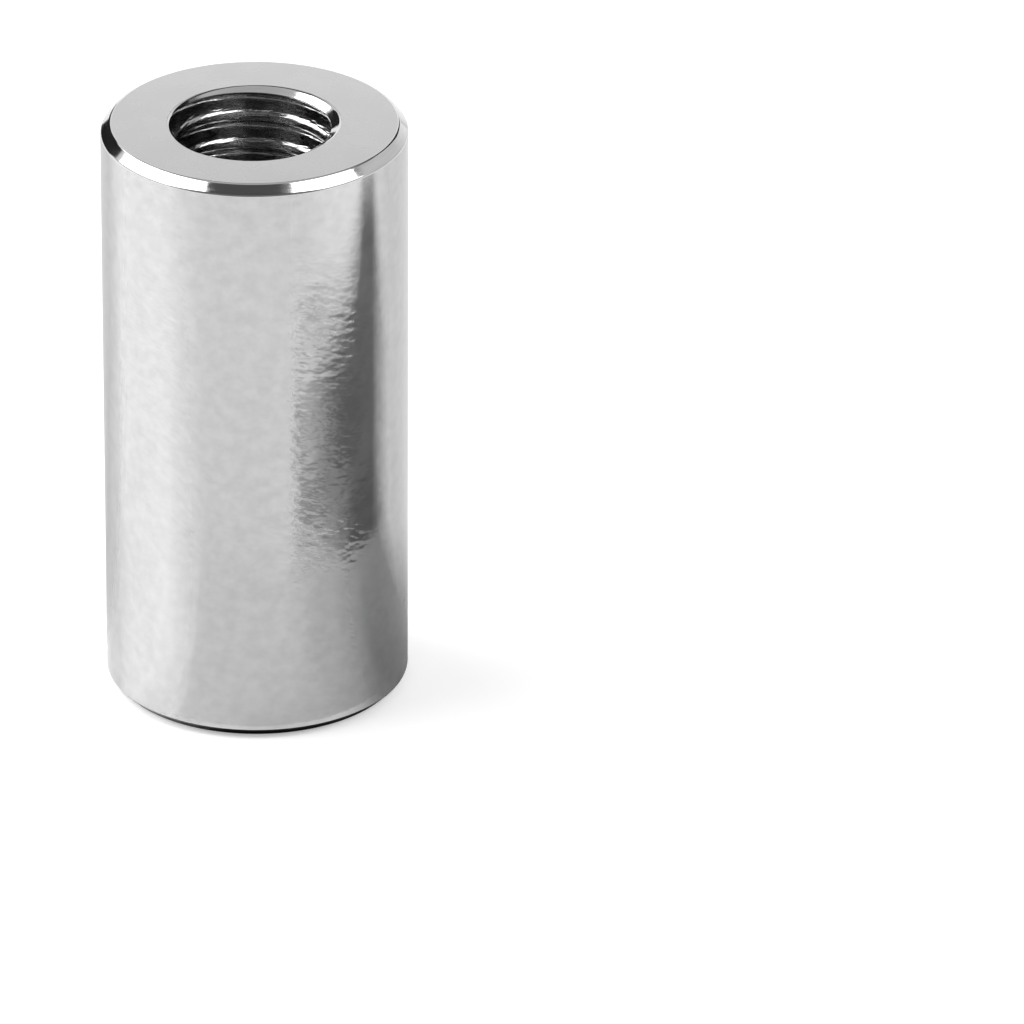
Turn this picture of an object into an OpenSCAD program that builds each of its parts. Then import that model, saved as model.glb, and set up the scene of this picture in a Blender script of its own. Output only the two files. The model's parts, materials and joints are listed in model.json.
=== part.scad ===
// Round coupling nut: a plain turned sleeve, tapped right through,
// that joins threaded rods or studs end to end.
// It stands on one end face, with its axis along +Z and the origin
// at the middle of that face. Sizes are in millimetres.

/* [Sleeve] */
// Outside diameter of the sleeve
outer_d = 10; // [9:0.5:16]
// Length of the sleeve, end face to end face
length = 20; // [10:1:60]
// Radial width of the chamfer round both ends of the sleeve
edge_chamfer = 0.3; // [0.1:0.05:0.8]
// Angle of that chamfer, measured from the end face
edge_angle = 45; // [30:5:60]

/* [Threaded hole] */
// Nominal diameter of the metric thread
thread_d = 6; // [4:0.5:7]
// Pitch of the thread
thread_pitch = 1; // [0.5:0.05:1.25]
// Radial width of the countersink round both mouths of the hole
mouth_chamfer = 0.35; // [0.1:0.05:0.4]
// Included angle of the countersink
mouth_angle = 120; // [60:5:140]

/* [Hidden] */

// Smoothness of the round faces
$fn = 96;
// How far each cutter runs past the face that it cuts
overrun = 1;

outer_r = outer_d / 2;
// Radius and axial depth of the chamfered ends
face_r = outer_r - edge_chamfer;
edge_depth = edge_chamfer * tan(edge_angle);
// The hole is drilled at the tapping size: nominal diameter less one pitch
tapping_r = (thread_d - thread_pitch) / 2;
// Radius added per millimetre of height by the countersink
mouth_flare = tan(mouth_angle / 2);
mouth_depth = mouth_chamfer / mouth_flare;

// The bar after turning, facing and chamfering, before it is drilled
module turned_blank() {
    half_section = [
        [0, 0],
        [face_r, 0],
        [outer_r, edge_depth],
        [outer_r, length - edge_depth],
        [face_r, length],
        [0, length],
    ];
    rotate_extrude() polygon(half_section);
}

// The drilled way right through, which the tap then cuts outward from
module tapping_hole() {
    translate([0, 0, -overrun]) cylinder(r = tapping_r, h = length + 2 * overrun);
}

// The lead-in at the bottom mouth, carried on past the end face
module mouth_countersink() {
    mouth_half_section = [
        [0, -overrun],
        [tapping_r + mouth_chamfer + overrun * mouth_flare, -overrun],
        [tapping_r, mouth_depth],
        [0, mouth_depth],
    ];
    rotate_extrude() polygon(mouth_half_section);
}

// The finished nut, the same at both ends
module coupling_nut() {
    color("silver") difference() {
        turned_blank();
        tapping_hole();
        mouth_countersink();
        translate([0, 0, length]) mirror([0, 0, 1]) mouth_countersink();
    }
}

coupling_nut();
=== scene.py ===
import json
from math import atan2, cos, degrees, pi, radians, sin, tan

import bmesh
import bpy
from mathutils import Matrix, Vector


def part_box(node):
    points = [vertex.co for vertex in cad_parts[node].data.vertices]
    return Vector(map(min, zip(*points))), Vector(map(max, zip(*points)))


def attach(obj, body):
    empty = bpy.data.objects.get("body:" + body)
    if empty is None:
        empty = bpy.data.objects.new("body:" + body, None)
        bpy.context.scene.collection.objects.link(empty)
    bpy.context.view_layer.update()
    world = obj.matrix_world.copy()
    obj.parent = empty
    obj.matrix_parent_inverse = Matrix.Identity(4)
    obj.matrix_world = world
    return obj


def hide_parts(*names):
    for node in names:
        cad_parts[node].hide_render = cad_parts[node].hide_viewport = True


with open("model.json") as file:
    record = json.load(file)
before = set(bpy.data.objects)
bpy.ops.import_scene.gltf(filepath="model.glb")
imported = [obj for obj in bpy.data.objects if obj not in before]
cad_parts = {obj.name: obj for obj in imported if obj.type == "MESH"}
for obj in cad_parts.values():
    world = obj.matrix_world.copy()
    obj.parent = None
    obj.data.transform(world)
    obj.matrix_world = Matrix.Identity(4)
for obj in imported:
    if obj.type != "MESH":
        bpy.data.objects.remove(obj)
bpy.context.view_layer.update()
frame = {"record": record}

# The bar.
# A length of round steel bar, ground to size on its outside, cut off, faced at both ends
# and given a small turned chamfer round each rim. Every edge is left a little soft.

MM = 0.001
same_place = 0.002 * MM
low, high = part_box("coupling_nut")
length = high.z - low.z
outer_r = (high.x - low.x) / 2
rim_chamfer = 0.3 * MM
edge_softness = 0.05 * MM
edge_steps = 3
bar_sides = 320


def pick_piece(piece):
    """Selects one piece alone, for the operators that follow."""
    bpy.ops.object.select_all(action="DESELECT")
    piece.select_set(True)
    bpy.context.view_layer.objects.active = piece


def open_mesh(piece, mode):
    """Opens one piece's mesh, with nothing in it selected."""
    pick_piece(piece)
    bpy.ops.object.mode_set(mode="EDIT")
    bpy.ops.mesh.select_mode(type=mode)
    bpy.ops.mesh.select_all(action="DESELECT")


def close_mesh():
    bpy.ops.object.mode_set(mode="OBJECT")


def settle():
    """Moves the selected piece's place, turn and scale into its mesh."""
    bpy.ops.object.transform_apply(location=True, rotation=True, scale=True)


def pick_edges(piece, wanted):
    """Selects the edges of the open mesh of which both ends pass the test."""
    bpy.ops.mesh.select_all(action="DESELECT")
    mesh = bmesh.from_edit_mesh(piece.data)
    for edge in mesh.edges:
        edge.select_set(all(wanted(end.co) for end in edge.verts))
    bmesh.update_edit_mesh(piece.data)


def pick_faces(piece, wanted):
    """Selects the faces of the open mesh of which the middle and the normal pass the test."""
    bpy.ops.mesh.select_all(action="DESELECT")
    mesh = bmesh.from_edit_mesh(piece.data)
    for face in mesh.faces:
        face.select_set(wanted(face.calc_center_median(), face.normal))
    bmesh.update_edit_mesh(piece.data)


def soften(width):
    """Rounds the selected edges over a small width."""
    bpy.ops.mesh.bevel(offset_type="OFFSET", offset=width, segments=edge_steps, affect="EDGES")


def radius_at(point):
    return (point.x ** 2 + point.y ** 2) ** 0.5


def near(value, target):
    return abs(value - target) < same_place


bpy.ops.object.select_all(action="DESELECT")
bpy.ops.mesh.primitive_cylinder_add(
    vertices=bar_sides,
    radius=outer_r,
    depth=length,
    end_fill_type="NGON",
    location=(0, 0, low.z + length / 2),
)
sleeve = bpy.context.object
sleeve.name = "tapped_sleeve"
settle()

open_mesh(sleeve, "EDGE")
for end_z in (low.z, high.z):
    pick_edges(sleeve, lambda end: near(end.z, end_z))
    bpy.ops.mesh.bevel(offset_type="OFFSET", offset=rim_chamfer, segments=1, affect="EDGES")
for rim_z in (low.z, low.z + rim_chamfer, high.z - rim_chamfer, high.z):
    pick_edges(sleeve, lambda end: near(end.z, rim_z))
    soften(edge_softness)
close_mesh()

# The mouths.
# Each end is opened with a wide countersink before it is tapped, so that a rod finds its
# way in and the first turn has no feather edge. The groove still breaks out beside it.

thread = next(m for m in frame["record"]["mounts"] if m["name"] == "thread")
crest_r = thread["dims"]["r_mm"] * MM
mouth_width = 0.35 * MM
mouth_lean = radians(60)
mouth_softness = 0.06 * MM
mouth_r = crest_r + mouth_width - mouth_softness
face_r = outer_r - rim_chamfer - edge_softness
countersink_width = 0.6 * MM
countersink_depth = countersink_width / tan(mouth_lean)

open_mesh(sleeve, "FACE")
for end_z in (low.z, high.z):
    pick_faces(sleeve, lambda middle, normal: near(middle.z, end_z))
    bpy.ops.mesh.inset(thickness=face_r - mouth_r, depth=0)
    bpy.ops.mesh.inset(thickness=countersink_width, depth=-countersink_depth)
close_mesh()
open_mesh(sleeve, "EDGE")
for end_z in (low.z, high.z):
    pick_edges(sleeve, lambda end: near(end.z, end_z) and near(radius_at(end), mouth_r))
    soften(mouth_softness)
close_mesh()

# The thread.
# A right-hand metric thread, cut right through the drilled bar with a tap. Its crests
# are what is left of the drilled wall, its flanks lean at 30 degrees, and crests and
# roots are rounded by the tap and the plating.

thread_pitch = 1.0 * MM
root_r = crest_r + thread_pitch / 2
flank_lean = radians(30)
crest_flat = 0.28 * thread_pitch
crest_round = 0.19 * MM
root_round = 0.10 * MM
round_steps = 5
steps_per_turn = 120
spare_turns = 2
thread_start = radians(-100)
weld = 0.0005 * MM
cut_slack = weld / 100
smooth_below = radians(25)
flat_weight = 90

flank_rise = (root_r - crest_r) * tan(flank_lean)
groove_foot = crest_flat / 2
groove_side = groove_foot + flank_rise


def rounded(before, corner, after, radius):
    """The corner of a polyline, as the points of an arc of that radius."""
    into = (Vector(corner) - Vector(before)).normalized()
    away = (Vector(after) - Vector(corner)).normalized()
    half_turn = into.angle(away) / 2
    back_off = radius * tan(half_turn)
    first = Vector(corner) - into * back_off
    last = Vector(corner) + away * back_off
    inward = (away - into).normalized()
    middle = Vector(corner) + inward * (radius / cos(half_turn))
    sweep = (first - middle).angle_signed(last - middle)
    spokes = (Matrix.Rotation(-sweep * step / round_steps, 2) for step in range(round_steps + 1))
    return [middle + spoke @ (first - middle) for spoke in spokes]


outline = [
    (crest_r, 0.0),
    (crest_r, groove_foot),
    (root_r, groove_side),
    (root_r, thread_pitch - groove_side),
    (crest_r, thread_pitch - groove_foot),
    (crest_r, thread_pitch),
]
corner_rounds = (crest_round, root_round, root_round, crest_round)
thread_line = [Vector(outline[0])]
for index, corner_round in enumerate(corner_rounds, start=1):
    thread_line += rounded(outline[index - 1], outline[index], outline[index + 1], corner_round)
thread_line.append(Vector(outline[-1]))

bpy.ops.object.select_all(action="DESELECT")
bpy.ops.mesh.primitive_plane_add(size=thread_pitch, location=(crest_r, 0, 0))
tap = bpy.context.object
tap.name = "thread_tap"
settle()
open_mesh(tap, "VERT")
bpy.ops.mesh.select_all(action="SELECT")
bpy.ops.mesh.merge(type="CENTER")
for here, there in zip(thread_line, thread_line[1:]):
    step = there - here
    bpy.ops.mesh.extrude_region_move(TRANSFORM_OT_translate={"value": (step.x, 0, step.y)})
close_mesh()

bpy.ops.object.modifier_add(type="SCREW")
helix = tap.modifiers[-1]
helix.axis = "Z"
helix.angle = 2 * pi
helix.screw_offset = thread_pitch
helix.iterations = round(length / thread_pitch) + 2 * spare_turns
helix.steps = steps_per_turn
helix.render_steps = steps_per_turn
bpy.ops.object.modifier_apply(modifier=helix.name)
tap.rotation_euler.z = thread_start
tap.location.z = low.z - (spare_turns + 0.5) * thread_pitch
settle()

open_mesh(tap, "VERT")
bpy.ops.mesh.select_all(action="SELECT")
bpy.ops.mesh.remove_doubles(threshold=weld)
for cut_z, outward in ((low.z - thread_pitch, -1), (high.z + thread_pitch, 1)):
    bpy.ops.mesh.select_all(action="SELECT")
    bpy.ops.mesh.bisect(
        plane_co=(0, 0, cut_z),
        plane_no=(0, 0, outward),
        use_fill=True,
        clear_outer=True,
        threshold=cut_slack,
    )
bpy.ops.mesh.select_all(action="SELECT")
bpy.ops.mesh.normals_make_consistent(inside=False)
close_mesh()

pick_piece(sleeve)
bpy.ops.object.modifier_add(type="BOOLEAN")
tapping = sleeve.modifiers[-1]
tapping.operation = "DIFFERENCE"
tapping.solver = "EXACT"
tapping.object = tap
bpy.ops.object.modifier_apply(modifier=tapping.name)
pick_piece(tap)
bpy.ops.object.delete()

open_mesh(sleeve, "VERT")
bpy.ops.mesh.select_all(action="SELECT")
bpy.ops.mesh.remove_doubles(threshold=weld)
close_mesh()
bpy.ops.object.shade_smooth_by_angle(angle=smooth_below)


def resize_mesh(piece, factor):
    """Scales the selected piece's mesh about the origin, with the object left at full size."""
    piece.scale = (factor, factor, factor)
    settle()


# Weighted Normal takes faces of a few hundredths of a millimetre for equals in metres,
# so it works on the mesh in millimetres, and flats stay flat up to their soft edges.
resize_mesh(sleeve, 1 / MM)
bpy.ops.object.modifier_add(type="WEIGHTED_NORMAL")
flat_faces = sleeve.modifiers[-1]
flat_faces.mode = "FACE_AREA"
flat_faces.weight = flat_weight
flat_faces.keep_sharp = True
bpy.ops.object.modifier_apply(modifier=flat_faces.name)
resize_mesh(sleeve, MM)

# The ground side.
# The outside is centreless ground and then plated bright: neutral, half glossy and a little
# wavy. Two opposite sides are scuffed over the middle length, where the nut was gripped.

MICRON = 1e-6
steel_grey = (0.6, 0.6, 0.6, 1)
noise_middle = (0.3, 0.7)
dash_cell = (0.50, 0.50, 0.24)
dash_lean = radians(20)
dash_depth = 6.5 * MICRON
scuff_cell = (0.40, 0.40, 0.22)
scuff_lean = radians(35)
scuff_depth = 10 * MICRON
grinding_cell = (0.8, 0.8, 0.03)
grinding_depth = 0.5 * MICRON
wave_cell = (3.0, 3.0, 2.0)
wave_depth = 4 * MICRON
cloud_cell = (0.4, 0.4, 0.35)
ground_tones = (0.56, 0.64)
ground_roughness = (0.08, 0.13)


def new_finish(name):
    """A new finish of bright metal, with its nodes and its surface."""
    finish = bpy.data.materials.new(name)
    finish.use_nodes = True
    tree = finish.node_tree
    surface = tree.nodes["Principled BSDF"]
    surface.inputs["Base Color"].default_value = steel_grey
    surface.inputs["Metallic"].default_value = 1.0
    return finish, tree, surface


def feed(tree, source, socket):
    """Links a socket to another node's output, or sets it to a plain value."""
    if isinstance(source, bpy.types.NodeSocket):
        tree.links.new(source, socket)
    else:
        socket.default_value = source


def noise_on(tree, cell_mm, detail, lean=0.0):
    """A noise with cells of so many millimetres along x, y and z, leaning about y."""
    place = tree.nodes.new("ShaderNodeTexCoord")
    stretch = tree.nodes.new("ShaderNodeMapping")
    stretch.vector_type = "TEXTURE"
    stretch.inputs["Rotation"].default_value = (0, lean, 0)
    stretch.inputs["Scale"].default_value = [size * MM for size in cell_mm]
    noise = tree.nodes.new("ShaderNodeTexNoise")
    noise.inputs["Scale"].default_value = 1.0
    noise.inputs["Detail"].default_value = detail
    tree.links.new(place.outputs["Object"], stretch.inputs["Vector"])
    tree.links.new(stretch.outputs["Vector"], noise.inputs["Vector"])
    return noise.outputs["Fac"]


def ranged_on(tree, value, source, target=(0.0, 1.0)):
    """Carries one range of values over to another, and holds at its ends."""
    ranged = tree.nodes.new("ShaderNodeMapRange")
    ranged.inputs["From Min"].default_value = source[0]
    ranged.inputs["From Max"].default_value = source[1]
    ranged.inputs["To Min"].default_value = target[0]
    ranged.inputs["To Max"].default_value = target[1]
    tree.links.new(value, ranged.inputs["Value"])
    return ranged.outputs["Result"]


def bump_on(tree, height, depth, under=None, strength=1.0):
    """Raises the surface by up to the given depth, on top of another bump."""
    bump = tree.nodes.new("ShaderNodeBump")
    bump.inputs["Distance"].default_value = depth
    tree.links.new(height, bump.inputs["Height"])
    feed(tree, strength, bump.inputs["Strength"])
    if under is not None:
        tree.links.new(under, bump.inputs["Normal"])
    return bump.outputs["Normal"]


def tones_along(tree, value, stops):
    """Greys along a value that runs from 0 to 1."""
    tones = tree.nodes.new("ShaderNodeValToRGB")
    while len(tones.color_ramp.elements) < len(stops):
        tones.color_ramp.elements.new(1.0)
    for element, (place, tone) in zip(tones.color_ramp.elements, stops):
        element.position = place
        element.color = (tone, tone, tone, 1)
    tree.links.new(value, tones.inputs["Fac"])
    return tones.outputs["Color"]


def mixed(tree, blend, share, first, second):
    """Two tones, mixed by a share or blended one over the other."""
    mix = tree.nodes.new("ShaderNodeMix")
    mix.data_type = "RGBA"
    mix.blend_type = blend
    feed(tree, share, mix.inputs["Factor"])
    feed(tree, first, mix.inputs["A"])
    feed(tree, second, mix.inputs["B"])
    return mix.outputs["Result"]


def height_on(tree, span):
    """The height above the origin, as a share of a span."""
    place = tree.nodes.new("ShaderNodeTexCoord")
    split = tree.nodes.new("ShaderNodeSeparateXYZ")
    tree.links.new(place.outputs["Object"], split.inputs["Vector"])
    return ranged_on(tree, split.outputs["Z"], (0.0, span))


def around_nut(tree, coordinates="Object"):
    """The azimuth round the nut, as a value from 0 to 1."""
    place = tree.nodes.new("ShaderNodeTexCoord")
    around = tree.nodes.new("ShaderNodeTexGradient")
    around.gradient_type = "RADIAL"
    tree.links.new(place.outputs[coordinates], around.inputs["Vector"])
    return around.outputs["Fac"]


def by_azimuth(*stops):
    """Stops given by azimuth, from the left at -90 by way of the front, right and back to 270."""
    return [((azimuth + 90) / 360, tone) for azimuth, tone in stops]


def lay_finish(tree, surface, relief, pattern, tones, roughness):
    """Gives a surface its relief, with greys and a roughness that follow one noise."""
    greys = tones_along(tree, pattern, list(zip(noise_middle, tones)))
    tree.links.new(relief, surface.inputs["Normal"])
    tree.links.new(greys, surface.inputs["Base Color"])
    tree.links.new(ranged_on(tree, pattern, noise_middle, roughness), surface.inputs["Roughness"])


grip_heights = ((0.26, 0.3), (0.36, 1.0), (0.76, 1.0), (0.84, 0.2))
grip_sides = by_azimuth(
    (4, 0.2), (14, 1.0), (40, 1.0), (50, 0.2),
    (184, 0.2), (194, 1.0), (220, 1.0), (230, 0.2),
)

ground_side, tree, surface = new_finish("ground_side")
mid_length = tones_along(tree, height_on(tree, length), grip_heights)
two_sides = tones_along(tree, around_nut(tree), grip_sides)
gripped = mixed(tree, "MULTIPLY", 1.0, mid_length, two_sides)
streaks = noise_on(tree, dash_cell, 1.0, lean=dash_lean)
dashes = ranged_on(tree, streaks, noise_middle)
scuffs = noise_on(tree, scuff_cell, 1.0, lean=scuff_lean)
grinding = noise_on(tree, grinding_cell, 2.0)
waviness = noise_on(tree, wave_cell, 1.0)
clouds = noise_on(tree, cloud_cell, 3.0)
relief = bump_on(tree, waviness, wave_depth)
relief = bump_on(tree, dashes, dash_depth, relief, gripped)
relief = bump_on(tree, scuffs, scuff_depth, relief, gripped)
relief = bump_on(tree, grinding, grinding_depth, relief)
lay_finish(tree, surface, relief, clouds, ground_tones, ground_roughness)

# The faced ends.
# Both ends are faced on the lathe with a fine feed and then plated with the rest, which
# leaves them an even satin, a little hazy.

satin_cell = (0.09, 0.09, 0.09)
satin_depth = 0.28 * MICRON
haze_cell = (1.2, 1.2, 1.2)
faced_tones = (0.60, 0.63)
faced_roughness = (0.24, 0.32)

faced_end, tree, surface = new_finish("faced_end")
satin = noise_on(tree, satin_cell, 2.0)
haze = noise_on(tree, haze_cell, 2.0)
relief = bump_on(tree, satin, satin_depth)
lay_finish(tree, surface, relief, haze, faced_tones, faced_roughness)

# The turned chamfers.
# Rims and mouths are cut in the same turning, with a sharp tool. They are near mirrors,
# with the tool's faint rings round them.

ring_cell = (1.1, 1.1, 0.07)
ring_depth = 0.5 * MICRON
turned_tones = (0.66, 0.72)
turned_roughness = (0.06, 0.12)

turned_chamfer, tree, surface = new_finish("turned_chamfer")
rings = noise_on(tree, ring_cell, 2.0)
relief = bump_on(tree, rings, ring_depth)
lay_finish(tree, surface, relief, rings, turned_tones, turned_roughness)

# The tapped thread.
# The flanks are burnished by the tap, with its drag marks along the turns, and plated
# thinly, since little of the plating reaches down the hole.

drag_cell = (0.7, 0.7, 0.08)
drag_depth = 30 * MICRON
patch_cell = (0.55, 0.55, 0.33)
tapped_tones = (0.44, 0.56)
tapped_roughness = (0.09, 0.17)
cone_slack = 0.02 * MM
upright_below = 0.05
level_above = 0.999

tapped_thread, tree, surface = new_finish("tapped_thread")
drag = noise_on(tree, drag_cell, 2.0)
patches = noise_on(tree, patch_cell, 2.0)
relief = bump_on(tree, drag, drag_depth)
lay_finish(tree, surface, relief, patches, tapped_tones, tapped_roughness)

for finish in (tapped_thread, ground_side, faced_end, turned_chamfer):
    sleeve.data.materials.append(finish)


def on_side(middle, normal):
    return radius_at(middle) > face_r and abs(normal.z) < upright_below


def on_end(middle, normal):
    return abs(normal.z) > level_above


def on_chamfer(middle, normal):
    depth = min(middle.z - low.z, high.z - middle.z)
    cone_depth = (mouth_r - radius_at(middle)) / tan(mouth_lean)
    at_rim = radius_at(middle) > face_r and not on_side(middle, normal)
    at_mouth = crest_r < radius_at(middle) and abs(depth - cone_depth) < cone_slack
    return (at_rim or at_mouth) and not on_end(middle, normal)


open_mesh(sleeve, "FACE")
for slot_index, zone in ((1, on_side), (2, on_end), (3, on_chamfer)):
    pick_faces(sleeve, zone)
    sleeve.active_material_index = slot_index
    bpy.ops.object.material_slot_assign()
close_mesh()

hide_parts("coupling_nut")
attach(sleeve, "root")

# The floor.
# A sheet of pale acrylic under the nut: white to the eye, with the nut's soft shadow, and
# glossy enough to show the lights to the metal that stands on it.

floor_size = 3.0
floor_drop = 0.01 * MM
floor_pale = (0.8, 0.8, 0.8, 1)
floor_roughness = 0.40
floor_ior = 1.8
glow_white = (1, 1, 1, 1)
eye_glow = 0.35
# The floor's glow in the metal is nil at glow_starts and full at glow_full: painted shade round
# the nut's foot.
metal_glow = 0.085
glow_starts = 5 * MM
glow_full = 42 * MM
gloss_level = 0.5


def math_on(tree, operation, value, other):
    """One step of arithmetic on a value, with a number or another value."""
    step = tree.nodes.new("ShaderNodeMath")
    step.operation = operation
    tree.links.new(value, step.inputs[0])
    feed(tree, other, step.inputs[1])
    return step.outputs[0]


def reach_on(tree):
    """The distance from the middle of the nut's foot."""
    place = tree.nodes.new("ShaderNodeTexCoord")
    reach = tree.nodes.new("ShaderNodeVectorMath")
    reach.operation = "LENGTH"
    tree.links.new(place.outputs["Object"], reach.inputs[0])
    return reach.outputs["Value"]


bpy.ops.object.select_all(action="DESELECT")
bpy.ops.mesh.primitive_plane_add(size=floor_size, location=(0, 0, low.z - floor_drop))
floor = bpy.context.object
floor.name = "floor"
settle()
acrylic = bpy.data.materials.new("pale_acrylic")
acrylic.use_nodes = True
tree = acrylic.node_tree
surface = tree.nodes["Principled BSDF"]
surface.inputs["Base Color"].default_value = floor_pale
surface.inputs["Roughness"].default_value = floor_roughness
surface.inputs["IOR"].default_value = floor_ior
surface.inputs["Emission Color"].default_value = glow_white

ray = tree.nodes.new("ShaderNodeLightPath")
from_eye = ray.outputs["Is Camera Ray"]
from_gloss = ray.outputs["Is Glossy Ray"]
from_metal = math_on(tree, "MAXIMUM", from_gloss, ray.outputs["Is Transmission Ray"])
# Painted shade: the glow that the metal sees fades out towards the nut's foot.
glow_with_painted_foot_shade = ranged_on(tree, reach_on(tree), (glow_starts, glow_full), (0.0, metal_glow))
to_eye = math_on(tree, "MULTIPLY", from_eye, eye_glow)
to_metal = math_on(tree, "MULTIPLY", from_metal, glow_with_painted_foot_shade)
tree.links.new(math_on(tree, "ADD", to_eye, to_metal), surface.inputs["Emission Strength"])
gloss = math_on(tree, "MULTIPLY", from_gloss, gloss_level)
tree.links.new(gloss, surface.inputs["Specular IOR Level"])
floor.data.materials.append(acrylic)

# The studio.
# A pale room with its bright wall at the back and the dark of the room in front, a large
# soft light on either side, and cards seen by the metal alone: black velvet ones that give it
# its edges, and others of painted shade and light, on the floor and at the right.

wall_tones = by_azimuth(
    (-90, 0.75), (-62, 0.72), (-42, 0.20), (42, 0.20), (60, 0.60), (135, 0.70),
    (155, 1.05), (180, 1.12), (205, 1.05), (230, 0.75), (270, 0.75),
)
upper_tones = by_azimuth(
    (-90, 0.55), (-60, 0.55), (-52, 0.09), (30, 0.09), (60, 0.55), (270, 0.55)
)
upper_share = ((0.74, 0.0), (0.80, 1.0))
ledge_tones = ((0.62, 1.0), (0.68, 0.25), (0.76, 0.25), (0.82, 1.0))
zenith_grey = (0.5, 0.5, 0.5, 1)
zenith_share = ((0.94, 0.0), (0.98, 1.0))
light_distance = 0.6
light_radiance = 3.3

room = bpy.data.worlds.new("studio_room")
bpy.context.scene.world = room
room.use_nodes = True
tree = room.node_tree
around = around_nut(tree, "Generated")
direction = tree.nodes.new("ShaderNodeTexCoord")
split = tree.nodes.new("ShaderNodeSeparateXYZ")
tree.links.new(direction.outputs["Generated"], split.inputs["Vector"])
upward = split.outputs["Z"]
walls = tones_along(tree, around, wall_tones)
upper = tones_along(tree, around, upper_tones)
sky = mixed(tree, "MIX", tones_along(tree, upward, upper_share), walls, upper)
sky = mixed(tree, "MULTIPLY", 1.0, sky, tones_along(tree, upward, ledge_tones))
sky = mixed(tree, "MIX", tones_along(tree, upward, zenith_share), sky, zenith_grey)
tree.links.new(sky, tree.nodes["Background"].inputs["Color"])


def toward(azimuth, elevation, distance):
    """A point that far from the nut, at an azimuth counted from the front to the right."""
    level = distance * cos(radians(elevation))
    side = level * sin(radians(azimuth))
    back = -level * cos(radians(azimuth))
    return Vector((side, back, distance * sin(radians(elevation))))


def soft_light(name, azimuth, elevation, width, height):
    """A rectangular soft light that faces the nut, of an even brightness."""
    bpy.ops.object.light_add(type="AREA", location=toward(azimuth, elevation, light_distance))
    light = bpy.context.object
    light.name = name
    light.data.shape = "RECTANGLE"
    light.data.size = width
    light.data.size_y = height
    light.data.energy = light_radiance * pi * width * height
    light.rotation_euler = light.location.to_track_quat("Z", "Y").to_euler()
    light.visible_camera = False


soft_light("left_light", azimuth=-92, elevation=44.6, width=0.59, height=0.47)
soft_light("right_light", azimuth=73, elevation=46.7, width=0.38, height=0.39)
soft_light("rear_light", azimuth=-131, elevation=44, width=0.20, height=0.20)

card_sides = 360
card_lift = 0.02 * MM
foot_lift = 0.05 * MM
near_span = 20 * MM
far_span = 60 * MM
high_span = 80 * MM
# Black for the velvet cards and for the painted shadow under the foot; white for a painted
# highlight.
velvet_and_shadow_black = (0.02, 0.02, 0.02, 1)
highlight_white = (0.98, 0.98, 0.98, 1)


def azimuth_of(point):
    """The azimuth in degrees, from the left at -90 by way of the front, right and back to 270."""
    return (degrees(atan2(point.x, -point.y)) + 90) % 360 - 90


def trim_card(card, name, start, end):
    """Keeps what lies between two azimuths, and shows the card to the metal alone."""
    card.name = name
    settle()
    open_mesh(card, "FACE")
    pick_faces(card, lambda middle, normal: not start < azimuth_of(middle) < end)
    bpy.ops.mesh.delete(type="FACE")
    close_mesh()
    card.visible_camera = False
    card.visible_diffuse = False
    card.visible_shadow = False
    matt = bpy.data.materials.new(name)
    matt.use_nodes = True
    card.data.materials.append(matt)
    return matt.node_tree, matt.node_tree.nodes["Principled BSDF"]


def curved_card(name, radius, start, end, bottom, top):
    """An upright card, bent round the nut between two azimuths."""
    bpy.ops.object.select_all(action="DESELECT")
    bpy.ops.mesh.primitive_cylinder_add(
        vertices=card_sides,
        radius=radius,
        depth=top - bottom,
        end_fill_type="NOTHING",
        location=(0, 0, (top + bottom) / 2),
    )
    return trim_card(bpy.context.object, name, start, end)


def velvet_card(name, radius, start, end, bottom, top):
    """An upright card of black velvet, which throws no light back."""
    tree, surface = curved_card(name, radius, start, end, bottom, top)
    surface.inputs["Base Color"].default_value = velvet_and_shadow_black
    surface.inputs["Specular IOR Level"].default_value = 0.0
    return tree, surface


def low_card(name, start, end, nearest, farthest, lift):
    """A thin card that lies on the floor round the nut, between two azimuths."""
    bpy.ops.object.select_all(action="DESELECT")
    bpy.ops.mesh.primitive_circle_add(
        vertices=card_sides, radius=farthest, fill_type="NGON", location=(0, 0, lift)
    )
    card = bpy.context.object
    open_mesh(card, "FACE")
    bpy.ops.mesh.select_all(action="SELECT")
    bpy.ops.mesh.inset(thickness=farthest - nearest, depth=0)
    bpy.ops.mesh.delete(type="FACE")
    close_mesh()
    return trim_card(card, name, start, end)


def gloss_like_floor(surface):
    surface.inputs["Roughness"].default_value = floor_roughness
    surface.inputs["IOR"].default_value = floor_ior


def soft_edge(tree, value, limit, fade):
    """1 where a value is well below a limit, and 0 from the limit up."""
    room_left = math_on(tree, "SUBTRACT", limit, value)
    return ranged_on(tree, room_left, (0.0, fade))


# The right card is a painted reflection, seen by the metal alone: a grey sheet with painted
# mottles of light and shade, darker to the right, and its top rises to a blunt peak.
right_tops = by_azimuth(
    (27, 0.61), (58, 0.58), (66, 0.60), (74, 0.68), (79, 0.80), (87, 0.80), (92, 0.68),
    (98, 0.55), (106, 0.50),
)
top_fade = 0.20
foot_fade = ((0.0, 0.0), (0.06, 1.0))
whole_foot = by_azimuth((40, 0.0), (66, 1.0))
right_ends = by_azimuth((24, 0.0), (30, 1.0), (87, 1.0), (97, 0.45), (106, 0.0))
# Painted mottles of light and shade, lighter at the left and darker towards the right.
mottle_cell = (9.0, 9.0, 1.6)
mottle_share = ((0.35, 0.0), (0.65, 1.0))
reflection_darks = by_azimuth((27, 0.42), (38, 0.33), (49, 0.22), (60, 0.14), (92, 0.16))
reflection_lights = by_azimuth((27, 1.0), (38, 0.85), (49, 0.64), (60, 0.36), (70, 0.18), (92, 0.18))
# Painted shade: the card darkens towards its foot.
card_foot_shade = ((0.05, 0.65), (0.14, 1.0))

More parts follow.
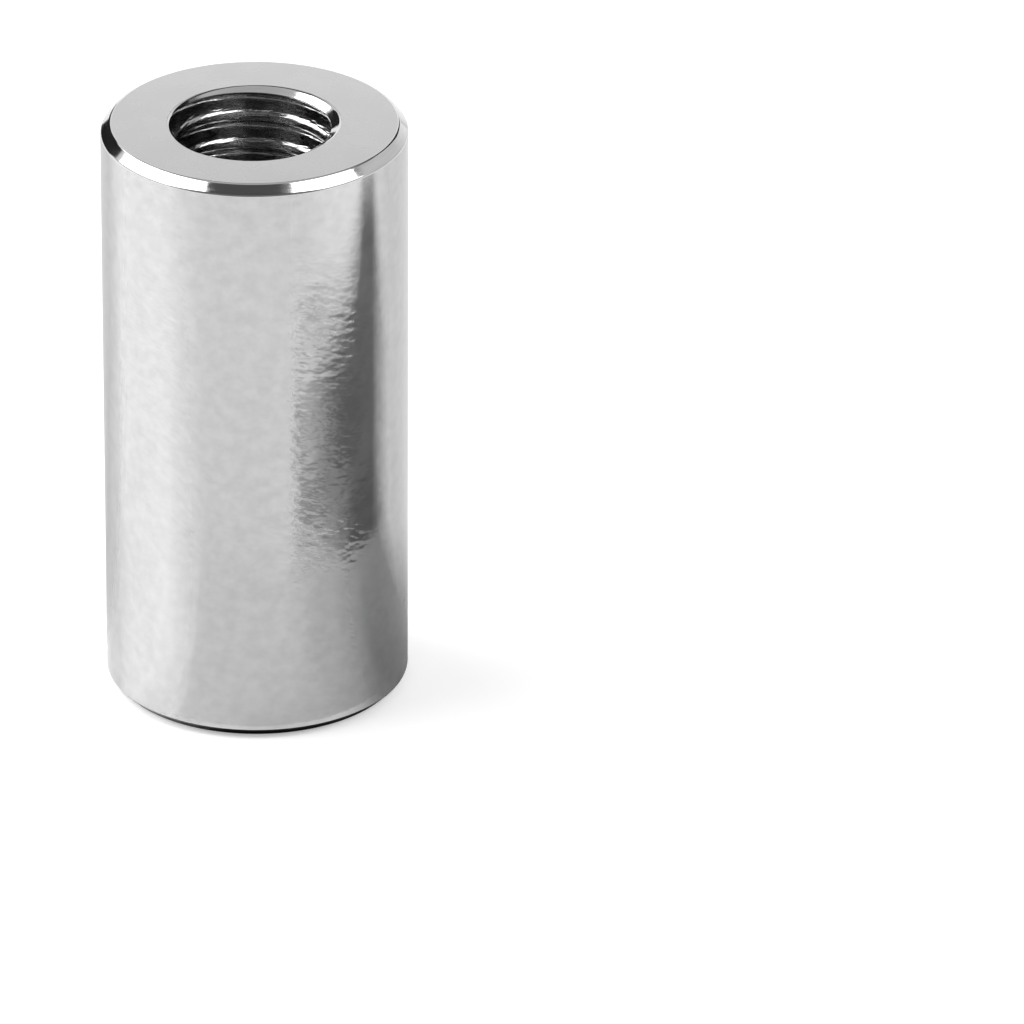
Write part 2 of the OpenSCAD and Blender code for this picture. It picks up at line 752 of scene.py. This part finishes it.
tree, surface = curved_card(
    "painted_reflection_card", radius=16.5 * MM, start=24, end=106, bottom=0.0, top=17 * MM
)
around = around_nut(tree)
height = height_on(tree, near_span)
below_top = soft_edge(tree, height, tones_along(tree, around, right_tops), top_fade)
shown = mixed(tree, "MULTIPLY", 1.0, tones_along(tree, around, right_ends), below_top)
above_foot = tones_along(tree, height, foot_fade)
above_foot = mixed(tree, "SCREEN", 1.0, above_foot, tones_along(tree, around, whole_foot))
shown = mixed(tree, "MULTIPLY", 1.0, shown, above_foot)
tree.links.new(shown, surface.inputs["Alpha"])
# The card's greys are a painted reflection: mottles of light and shade, darker to the right.
painted_mottles = tones_along(tree, noise_on(tree, mottle_cell, 0.0), mottle_share)
darker = tones_along(tree, around, reflection_darks)
lighter = tones_along(tree, around, reflection_lights)
grey = mixed(tree, "MIX", painted_mottles, darker, lighter)
# Painted shade along the card's foot.
grey = mixed(tree, "MULTIPLY", 1.0, grey, tones_along(tree, height, card_foot_shade))
tree.links.new(grey, surface.inputs["Base Color"])

# The floor card is painted shade and light that the metal alone sees in the floor: dark at the
# right and the back, and white at the left.
near_painted_shade = by_azimuth(
    (-65, 0.0), (-35, 0.08), (20, 0.10), (30, 0.22), (40, 0.38), (60, 0.58), (76, 0.75),
    (100, 0.70), (125, 0.5), (170, 0.0),
)
near_ends = by_azimuth((20, 0.35), (92, 0.37), (112, 0.25), (170, 0.20))
near_fade = 0.10
far_painted_shade = by_azimuth(
    (96, 0.0), (115, 0.15), (150, 0.20), (172, 0.20), (190, 0.30), (226, 0.27), (244, 0.0)
)
left_painted_light = by_azimuth((-60, 1.0), (-35, 0.0), (244, 0.0), (256, 1.0))
painted_light_fade = ((0.1, 1.0), (0.65, 0.4), (1.0, 0.0))
painted_card_tones = by_azimuth((-36, 0.98), (-35, 0.10), (244, 0.10), (245, 0.98))

tree, surface = low_card(
    "painted_floor_card", start=-91, end=271, nearest=outer_r, farthest=far_span, lift=card_lift
)
around = around_nut(tree)
reach = ranged_on(tree, reach_on(tree), (0.0, far_span))
near_end = tones_along(tree, around, near_ends)
close_by = soft_edge(tree, reach, near_end, near_fade)
dark_near = mixed(tree, "MULTIPLY", 1.0, tones_along(tree, around, near_painted_shade), close_by)
# Painted shade near the foot and far off at the back, and painted light at the left.
dark = mixed(tree, "SCREEN", 1.0, dark_near, tones_along(tree, around, far_painted_shade))
white_beside = tones_along(tree, around, left_painted_light)
white = mixed(tree, "MULTIPLY", 1.0, white_beside, tones_along(tree, reach, painted_light_fade))
tree.links.new(mixed(tree, "SCREEN", 1.0, dark, white), surface.inputs["Alpha"])
tree.links.new(tones_along(tree, around, painted_card_tones), surface.inputs["Base Color"])
gloss_like_floor(surface)

# A dark ring under the front of the foot, and a white one just outside it: a painted contact
# shadow and a painted highlight line, seen by the metal alone.
foot_split = outer_r + rim_chamfer / 2
painted_foot_shadow = by_azimuth((-75, 0.0), (-12, 1.0), (48, 1.0), (80, 0.4), (110, 0.0))
painted_foot_highlight = by_azimuth((-40, 0.0), (-15, 1.0), (35, 1.0), (65, 0.0))

tree, surface = low_card(
    "foot_shadow_card",
    start=-75,
    end=150,
    nearest=outer_r - 2 * rim_chamfer,
    farthest=foot_split,
    lift=foot_lift,
)
tree.links.new(tones_along(tree, around_nut(tree), painted_foot_shadow), surface.inputs["Alpha"])
# A painted contact shadow.
surface.inputs["Base Color"].default_value = velvet_and_shadow_black

tree, surface = low_card(
    "foot_highlight_card",
    start=-40,
    end=65,
    nearest=foot_split,
    farthest=outer_r + 2.5 * rim_chamfer,
    lift=foot_lift,
)
tree.links.new(tones_along(tree, around_nut(tree), painted_foot_highlight), surface.inputs["Alpha"])
# A painted highlight line.
surface.inputs["Base Color"].default_value = highlight_white
gloss_like_floor(surface)

# Black velvet behind the nut, of which the highest card is sheer at its lower edge.
sheer_edge = ((0.45, 0.0), (0.80, 0.85))

velvet_card("left_card", radius=60 * MM, start=198, end=239, bottom=15 * MM, top=55 * MM)
velvet_card("back_card", radius=60 * MM, start=138, end=161, bottom=33 * MM, top=80 * MM)
tree, surface = velvet_card(
    "high_card", radius=40 * MM, start=150, end=210, bottom=36 * MM, top=76 * MM
)
sheer = tones_along(tree, height_on(tree, high_span), sheer_edge)
tree.links.new(sheer, surface.inputs["Alpha"])

# The camera.
# A long lens, a little over a foot away, looks down at the standing nut, with the nut left
# of the picture's centre and the camera a fraction of a degree off level.

lens = 359.8
sensor = 36.0
nearest_seen = 0.01
farthest_seen = 10.0
camera_rise = radians(27.11)
camera_roll = radians(0.40)
camera_distance = 340.5 * MM
aim = Vector((8.43, 2.38, 4.65)) * MM

bpy.ops.object.camera_add()
camera = bpy.context.object
camera.data.lens = lens
camera.data.sensor_width = sensor
camera.data.clip_start = nearest_seen
camera.data.clip_end = farthest_seen
tilt = Matrix.Rotation(pi / 2 - camera_rise, 4, "X") @ Matrix.Rotation(camera_roll, 4, "Z")
camera.matrix_world = Matrix.Translation(aim) @ tilt @ Matrix.Translation((0, 0, camera_distance))
bpy.context.scene.camera = camera
bpy.context.scene.view_settings.view_transform = "Standard"
